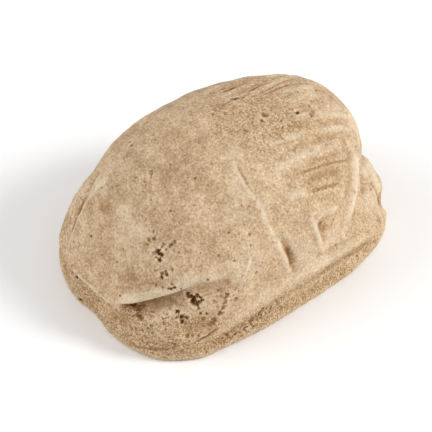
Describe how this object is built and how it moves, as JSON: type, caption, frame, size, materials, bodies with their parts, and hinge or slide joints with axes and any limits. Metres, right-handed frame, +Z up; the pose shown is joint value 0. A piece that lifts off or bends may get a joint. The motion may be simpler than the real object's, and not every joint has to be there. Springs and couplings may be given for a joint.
{
  "type": "scarab amulet",
  "caption": "Small carved stone scarab beetle on an oval base plate, worn and pitted, lying flat on its underside.",
  "frame": {"origin": "centre of the flat underside's bounding box, on the ground", "axes": "+Z up from the flat underside to the back, -Y towards the beetle's head, +X towards the beetle's left side"},
  "size_m": [0.014, 0.02, 0.0102],
  "materials": {
    "stone": "matte, worn, pale tan with brown dirt in the pits and recesses"
  },
  "bodies": {
    "root": {"scarab": "stone"}
  },
  "joints": []
}
